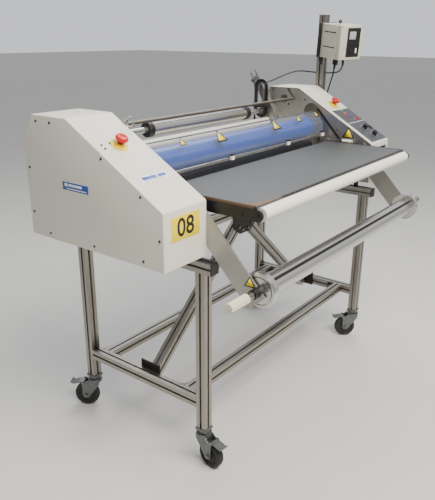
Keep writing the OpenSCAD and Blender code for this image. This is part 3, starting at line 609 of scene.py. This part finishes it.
# ---- Nip rolls ---------------------------------------------------------------------------
# Ground steel cores and journals in lift blocks, sleeved in smooth blue silicone rubber.
silicone, tree, shader, place = surface("blue_silicone_rubber", Roughness=0.33, Specular_IOR_Level=0.55)
bands = noise(tree, stretched(tree, place, (30, 2, 2)), 1.0, 3.0)
tint(tree, shader, bands, "0A2C86", "1A469E")
vary(tree, shader, bands, 0.26, 0.4)
dress(silicone, "top_roll")
# the bottom roll is coloured near black: partly its own dark rubber, partly painted shade standing in for the black
# band under the shield bar
dark_rubber_and_shade, tree, shader, place = surface("ground_dark_rubber_and_painted_shade", Roughness=0.5)
lay = stretched(tree, place, (900, 12, 12))
rings = noise(tree, lay, 1.0, 3.0)
tint(tree, shader, rings, "0E0F12", "1C1E24")
vary(tree, shader, rings, 0.4, 0.58)
dress(dark_rubber_and_shade, "bottom_roll")

ground_steel, tree, shader, place = surface("ground_steel", Metallic=1.0, Roughness=0.28)
rings = noise(tree, stretched(tree, place, (1500, 30, 30)), 1.0, 3.0)
tint(tree, shader, rings, "8D8B87", "B4B2AE")
vary(tree, shader, rings, 0.2, 0.36)
dress(ground_steel, "top_roll_shaft", "bottom_roll_shaft", "mandrel_shaft", "shield_bar", "lift_lever")
# the guide bar has browned with handling
aged, tree, shader, place = surface("browned_steel", Metallic=1.0, Roughness=0.42)
rust = noise(tree, place, 34.0, 7.0, 0.68)
tint(tree, shader, rust, "6B5F50", "A39A8C")
vary(tree, shader, rust, 0.34, 0.55)
dress(aged, "guide_bar")
dress(mill, "lift_blocks")
dress(dark_sheet, "gear_motor")


# ---- Safety shield -----------------------------------------------------------------------
# A bent sheet of clear polycarbonate on a rod, weighted by a steel bar in white snap clamps.
clear, tree, shader, place = surface("clear_polycarbonate", Roughness=0.08, Alpha=0.2, IOR=1.49,
                                     Base_Color=linear("A8B6D6"), Specular_IOR_Level=0.35)
scuff = noise(tree, stretched(tree, place, (8, 40, 40)), 1.0, 6.0, 0.7)
vary(tree, shader, scuff, 0.04, 0.2)
vary(tree, shader, scuff, 0.04, 0.12, "Alpha")
dress(clear, "shield")
snap, tree, shader, place = surface("white_nylon", Roughness=0.4, Subsurface_Weight=0.05)
soil = noise(tree, place, 120.0, 4.0)
tint(tree, shader, soil, "DAD8D0", "ECEBE6")
dress(snap, "shield_clamps")
for k, x in enumerate((-574, -150, 262, 574)):
    plate("clamp_cap_" + str(k), (x - 9.4, -66.2, 1007), (x + 9.4, -49.6, 1014.6), black_plastic, "shield_unit",
          1.2)

# yellow warning triangles stuck on the upper slant of the sheet, and larger ones on the frame
sticker_yellow, tree, shader, place = surface("yellow_vinyl_sticker", Roughness=0.38)
fade = noise(tree, place, 40.0, 4.0)
tint(tree, shader, fade, "DDC000", "F2DC00")


def triangle(name, at, side, body):
    """A warning triangle: a black edge and a yellow field, flat on the XY plane of `at`."""
    for part, mat, share, lift in (("_edge", black_plastic, 1.0, 0.25), ("_field", sticker_yellow, 0.7, 0.4)):
        mesh = bmesh.new()
        r = side * share / math.sqrt(3) / 1000
        low, high = ([mesh.verts.new(at @ Vector((r * math.sin(a), r * math.cos(a), z / 1000)))
                      for a in (0, 2 * math.pi / 3, 4 * math.pi / 3)] for z in (0.05, lift))
        for k in range(3):
            mesh.faces.new((low[k], low[k - 1], high[k - 1], high[k]))
        mesh.faces.new(low)
        mesh.faces.new(high)
        bmesh.ops.recalc_face_normals(mesh, faces=mesh.faces)
        made = piece(name + part, mesh, mat, body, smooth=0)


plate("number_sticker", (-766, FRONT - 0.5, 876), (-638, FRONT, 951), sticker_yellow, "body", 0.1)
digits = bpy.data.curves.new("digits", "FONT")
digits.body, digits.size, digits.extrude = "08", 0.078, 0.0001
digits.align_x, digits.align_y, digits.offset = "CENTER", "CENTER", 0.0012
holder = bpy.data.objects.new("digits", digits)
bpy.context.scene.collection.objects.link(holder)
bpy.context.view_layer.update()
figures = apply(holder)
figures.transform(Matrix.Translation(machine(-702, FRONT - 0.6, 912)) @ Matrix.Rotation(math.pi / 2, 4, "X"))
figures = piece("sticker_number", figures, black_plastic, "body", smooth=0)
facing_left = Matrix.Rotation(-math.pi / 2, 4, "Z") @ Matrix.Rotation(math.pi / 2, 4, "X")
triangle("frame_triangle", Matrix.Translation(machine(INNER, -177, 1006)) @ facing_left, 60, "body")
triangle("arm_triangle", Matrix.Translation(machine(-INNER, -462, 742)) @ facing_left, 42, "body")
slant = math.atan2(48, 46)
for k, (x, down, side) in enumerate(((-396, 22, 36), (-185, 32, 62), (200, 33, 62), (403, 24, 42), (572, 18, 38))):
    middle = machine(x, -10 - down * math.cos(slant), 1101 - down * math.sin(slant))
    leaning = Matrix.Translation(middle) @ Matrix.Rotation(slant, 4, "X")
    triangle("shield_triangle_" + str(k), leaning, side, "shield_unit")


# ---- Feed table --------------------------------------------------------------------------
# A board faced in dark grey laminate, rubbed pale by years of sheets, with a brown worn patch at
# its left front, black end plates, and a cream idler roller along its front edge.
laminate, tree, shader, place = surface("worn_grey_laminate", Roughness=0.42)
fleck = noise(tree, place, 420.0, 3.0, 0.7)
rub = noise(tree, stretched(tree, place, (3, 9, 3)), 1.0, 8.0, 0.62)
base = add(tree, "ShaderNodeMix", {"Factor": rub.outputs["Fac"], "A": linear("2B2D2E"), "B": linear("474A4B")},
           data_type="RGBA")
sparse = add(tree, "ShaderNodeMapRange", {"Value": fleck.outputs["Fac"], "From Min": 0.45, "From Max": 0.75,
                                          "To Max": 0.45})
fine = add(tree, "ShaderNodeMix", {"Factor": sparse.outputs["Result"], "A": base.outputs["Result"],
                                   "B": linear("6C6F6F")}, data_type="RGBA")
tree.links.new(fine.outputs["Result"], shader.inputs["Base Color"])
vary(tree, shader, rub, 0.42, 0.62)
relief(tree, shader, fleck, 0.08, 0.0002)
dress(laminate, "feed_table")
dress(dark_sheet, "table_side_plates")
core, tree, shader, place = surface("brown_fibreboard", Roughness=0.75)
grain = noise(tree, place, 240.0, 6.0, 0.7)
tint(tree, shader, grain, "4A3626", "84684C")
# the laminate has chipped away along the front left edge and shows the board
chip = bmesh.new()
rim = ((-570, -455), (-430, -455), (-436, -449), (-452, -446), (-470, -447), (-492, -441), (-511, -442),
       (-530, -436), (-548, -431), (-558, -420), (-566, -404), (-570, -392))
low, high = ([chip.verts.new(machine(x, y, z)) for x, y in rim] for z in (971.9, 972.3))
for k in range(len(rim)):
    chip.faces.new((low[k], low[k - 1], high[k - 1], high[k]))
chip.faces.new(low)
chip.faces.new(high)
bmesh.ops.recalc_face_normals(chip, faces=chip.faces)
chip = piece("worn_corner", chip, core, "table", smooth=20)
plate("front_trim", (-428, -456.2, 967.5), (571.5, -447, 972.9), black_plastic, "table", 0.8)
plate("right_trim", (565, -446.5, 967.5), (572.3, -92, 972.9), black_plastic, "table", 0.8)
plate("left_edge_core", (-572.0, -446, 960), (-571.4, -93, 971), core, "table", 0.1)

sleeve, tree, shader, place = surface("cream_roller_sleeve", Roughness=0.35)
stain = noise(tree, stretched(tree, place, (6, 30, 30)), 1.0, 5.0)
tint(tree, shader, stain, "DDD8CA", "EFECE2")
vary(tree, shader, stain, 0.28, 0.45)
dress(sleeve, "idler_roller", "rear_idler")


# ---- Unwind mandrel and rear shafts ------------------------------------------------------
# Extruded aluminium core tube with a grip slot, turned flanges, and a cream ribbed tension grip.
bright_tube, tree, shader, place = surface("satin_extruded_tube", Metallic=0.9, Roughness=0.36)
draw = noise(tree, stretched(tree, place, (5, 900, 900)), 1.0, 4.0)
tint(tree, shader, draw, "B4B3AF", "DCDBD8")
vary(tree, shader, draw, 0.16, 0.28)
dress(bright_tube, "mandrel_tube", "mandrel_flanges", "supply_mandrel")
grip, tree, shader, place = surface("cream_moulded_grip", Roughness=0.55)
hand = noise(tree, place, 110.0, 5.0)
tint(tree, shader, hand, "C9BFA4", "E0D9C6")
dress(grip, "mandrel_knob")
# matt black rubber strips in the slots of the core tube grip the cardboard core of a supply roll
AXIS_Y, AXIS_Z, FIRST_SLOT = -488, 720, 219
slot_rubber, tree, shader, place = surface("matt_slot_rubber", Roughness=0.9)
dull = noise(tree, place, 220.0, 3.0)
tint(tree, shader, dull, "050505", "0E0E0F")
for k in range(3):
    way = math.radians(FIRST_SLOT + 120 * k)
    outwards = Matrix.Rotation(math.atan2(-math.cos(way), math.sin(way)), 4, "X")
    plate("grip_strip_" + str(k), (-571, 29.2, -4.8), (571, 35.6, 4.8), slot_rubber, "mandrel", 1.0,
          Matrix.Translation(machine(0, AXIS_Y, AXIS_Z)) @ outwards)
turned("left_collar", [(0, 15.0), (0.8, 15.9), (23.2, 15.9), (24, 15.0)],
       (-632, AXIS_Y, AXIS_Z), (1, 0, 0), black_plastic, "mandrel")
for k, (x, w) in enumerate(((-248.4, 24.8), (423.6, 24.8))):
    turned("supply_collar_" + str(k), [(0, 29.0), (1, 30.4), (w - 1, 30.4), (w, 29.0)], (x, 292, 1082), (1, 0, 0),
           black_plastic, "supply")
turned("lever_ferrule", [(0, 5.0), (0.6, 5.9), (10, 5.9), (10.6, 5.4)],
       (594, -143.6, 976), (0, -1, 0), black_plastic, "lever")
turned("lever_grip", [(0, 5.8), (1.2, 7.2), (40, 7.3), (49, 7.3), (51.5, 6.4), (52.6, 4.0)],
       (594, -154, 976), (0, -1, 0), snap, "lever")


# ---- Emergency stops ---------------------------------------------------------------------
# Red moulded mushroom heads on round yellow legend plates.
red, tree, shader, place = surface("red_moulded_button", Roughness=0.32)
wear = noise(tree, place, 150.0, 4.0)
tint(tree, shader, wear, "A80C06", "C8160C")
dress(red, "estop_button_left", "estop_button_right", "start_button")
yellow, tree, shader, place = surface("yellow_moulded_plate", Roughness=0.42)
wear = noise(tree, place, 150.0, 4.0)
tint(tree, shader, wear, "D8B800", "E8CC00")
dress(yellow, "estop_bases")


# ---- Control panel -----------------------------------------------------------------------
# A printed grey film on the right slope with its knobs, switches and small displays.
film, tree, shader, place = surface("printed_panel_film", Roughness=0.4)
speck = noise(tree, place, 300.0, 3.0)
tint(tree, shader, speck, "33363B", "44474D")
dress(film, "control_panel")
PANEL_T = 2.0


def panel_block(name, x0, x1, s0, s1, rise, mat, edge=0.4, base=PANEL_T):
    """A flat item on the panel between two places across and two down, standing up from its film."""
    plate(name, (x0, -s1, base), (x1, -s0, base + rise), mat, "body", edge, SLOPE)


def glow(name, dark, light):
    """Glossy moulded plastic or a display window, mottled between two tones."""
    mat, tree, shader, place = surface(name, Roughness=0.22)
    bars = noise(tree, place, 260.0, 2.0)
    tint(tree, shader, bars, dark, light)
    return mat


red_window = glow("red_display_window", "8C1410", "D8342A")
green_window = glow("green_display_window", "1E5A34", "4FA86A")
blue_key = glow("blue_moulded_key", "1C3F94", "3868C4")
panel_block("panel_border_top", 632.6, 792.4, 197, 199, 0.3, label_white, 0.05)
panel_block("panel_divider", 632.6, 792.4, 299, 301.5, 0.3, label_white, 0.05)
panel_block("display_green", 700, 728, 201, 211, 1.0, green_window)
panel_block("display_red", 692, 722, 225, 235, 1.0, red_window)
panel_block("key_red", 690, 704, 247, 259, 2.4, red, 1.0)
panel_block("key_blue", 720, 734, 247, 259, 2.4, blue_key, 1.0)
panel_block("start_ring", 737.0, 738.6, 275, 293, 0.8, label_white, 0.2)
for k, (x, d) in enumerate(((719, 348), (727, 402))):
    # scale ticks round each knob
    for j in range(11):
        a = math.radians(-135 + 27 * j)
        cx, cs = x + 17.5 * math.sin(a), d - 17.5 * math.cos(a)
        panel_block("tick_%d_%d" % (k, j), cx - 0.6, cx + 0.6, cs - 1.8, cs + 1.8, 0.2, label_white,
                    0.05)
panel_block("toggle_bezel", 762, 780, 342, 366, 2.0, black_plastic, 0.8)
panel_block("toggle_rocker", 765, 777, 345, 356, 4.5, black_plastic, 1.0)
for k, (x, d) in enumerate(((638, 202), (787, 202), (638, 437), (787, 437))):
    panel_block("panel_corner_" + str(k), x - 2.5, x + 2.5, d - 2.5, d + 2.5, 1.2, bolt_steel, 1.2)
dress(black_plastic, "speed_knob", "pressure_knob")


# ---- Control box -------------------------------------------------------------------------
# A small folded steel case in warm grey enamel, hung on a black plate on its own post.
case_paint, tree, shader, place = surface("warm_grey_enamel", Roughness=0.45)
age = noise(tree, place, 22.0, 6.0)
tint(tree, shader, age, "AFAE9E", "C2C1B2")
grain = noise(tree, place, 800.0)
relief(tree, shader, grain, 0.12, 0.0003)
CASE = Matrix.Translation(machine(750, 74, 1340)) @ Matrix.Rotation(math.radians(-23.5), 4, "Z") \
    @ Matrix.Rotation(math.radians(5.2), 4, "X") @ Matrix.Rotation(math.radians(-1.1), 4, "Y")
WIDE, DEEP, TALL = 134, 141, 153
case = holding(block((0, -DEEP + 24, 0), (WIDE, 0, TALL), CASE), "case")
bevel = case.modifiers.new("edge", "BEVEL")
bevel.width, bevel.segments = 0.0016, 3
for z in (49, 116):
    tool = holding(block((-1, -106, z), (4, -18, z + 5), CASE), "case_tool")
    cut = case.modifiers.new("cut", "BOOLEAN")
    cut.object, cut.operation, cut.solver = tool, "DIFFERENCE", "EXACT"
case = piece("control_case", apply(case), case_paint, "body", smooth=40)
bezel = holding(block((0.2, -DEEP, 0.2), (WIDE - 0.2, -DEEP + 23.2, TALL - 0.2), CASE), "bezel")
bevel = bezel.modifiers.new("edge", "BEVEL")
bevel.width, bevel.segments = 0.002, 3
tool = holding(block((40, -DEEP - 2, 12), (118, -DEEP + 3, 142), CASE), "case_tool")
cut = bezel.modifiers.new("cut", "BOOLEAN")
cut.object, cut.operation, cut.solver = tool, "DIFFERENCE", "EXACT"
bezel = piece("control_bezel", apply(bezel), case_paint, "body", smooth=40)
for tool in [o for o in bpy.data.objects if o.name.startswith("case_tool")]:
    bpy.data.objects.remove(tool)
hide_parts("control_box")


def on_case(name, low, high, mat, edge):
    """A flat item on the control box, in the box's own millimetres."""
    plate(name, low, high, mat, "body", edge, CASE)


on_case("case_seam", (0.8, -DEEP + 23, 0.8), (WIDE - 0.8, -DEEP + 24.2, TALL - 0.8), dark_sheet, 0.1)
on_case("case_face", (40.3, -DEEP + 1.4, 12.3), (117.7, -DEEP + 2.9, 141.7), dark_sheet, 0.3)
display = glow("grey_display_window", "7C8484", "B0B8BA")
on_case("case_display", (54, -DEEP + 0.6, 92), (92, -DEEP + 1.8, 126), display, 0.4)
for z in (49, 116):
    on_case("vent_" + str(z), (1.2, -105.8, z + 0.2), (3.6, -18.2, z + 4.8), dark_sheet, 0.2)
on_case("case_keys", (52, -DEEP + 0.8, 62), (104, -DEEP + 1.9, 80), black_plastic, 0.5)
for k in range(4):
    on_case("case_key_" + str(k), (54 + 12.5 * k, -DEEP, 65), (63 + 12.5 * k, -DEEP + 1.6, 77), dark_sheet,
            0.6)
on_case("case_switch", (96, -DEEP - 0.4, 30), (104, -DEEP + 2, 52), snap, 0.8)
turned("case_dial", [(0, 13), (5, 12.4), (6.5, 11.2), (7, 9.0)],
       (72, -DEEP + 2.4, 38), (0, -1, 0), black_plastic, "body", at=CASE)
on_case("back_plate", (-11, 0, -2), (91, 13.6, 155), dark_sheet, 1.0)
turned("top_thumb_screw", [(-1, 2.5), (8, 2.5), (8, 10), (10, 10), (21, 5.2), (23, 4.0)], (30, -90, TALL), (0, 0, 1),
       black_plastic, "body", at=CASE)
screws("case_screws", [(tuple((CASE @ Vector((x / 1000, -DEEP / 1000, z / 1000)) - SHIFT) * 1000),
                        tuple(CASE.to_3x3() @ Vector((0, -1, 0)))) for x in (7, 127) for z in (7, 146)],
       6, 1.4, bolt_steel, "body")
plate("post_arm", (815, 30, 1380), (843, 81.9, 1440), dark_sheet, "body", 1.0)
turned("clamp_knob", [(0, 4.5), (1.2, 6), (38, 12.6), (41, 13), (42, 11.5)], (768, 75, 1302), (0, 0, 1), black_plastic,
       "body")
PLUG = Matrix.Translation(machine(818, 18, 1345)) @ Matrix.Rotation(math.radians(193.4), 4, "Y")
plate("link_plug", (-13, -9, 2), (13, 9, 44), black_plastic, "body", 2.0, PLUG)
ribs = [(46 + 3 * k, (6.6, 5.7)[k % 2] - 0.3 * k) for k in range(5)]
turned("link_plug_relief", [(40, 7.4), (46, 6.8)] + ribs + [(64, 4.2), (65, 3.9)],
       (0, 0, 0), (0, 0, 1), cord_mat, "body", at=PLUG)
turned("cord_gland", [(0, 5.0), (1.5, 6.4), (7, 7.0), (7, 8.6), (13, 8.6), (13, 7.0), (26, 7.0)],
       (821, -18, 1318), (0, 0, 1), black_plastic, "body")
turned("cord_relief", [(0, 5.8), (14, 5.0), (20, 4.5)], (821, -18, 1318.2), (0, 0, -1), cord_mat, "body")
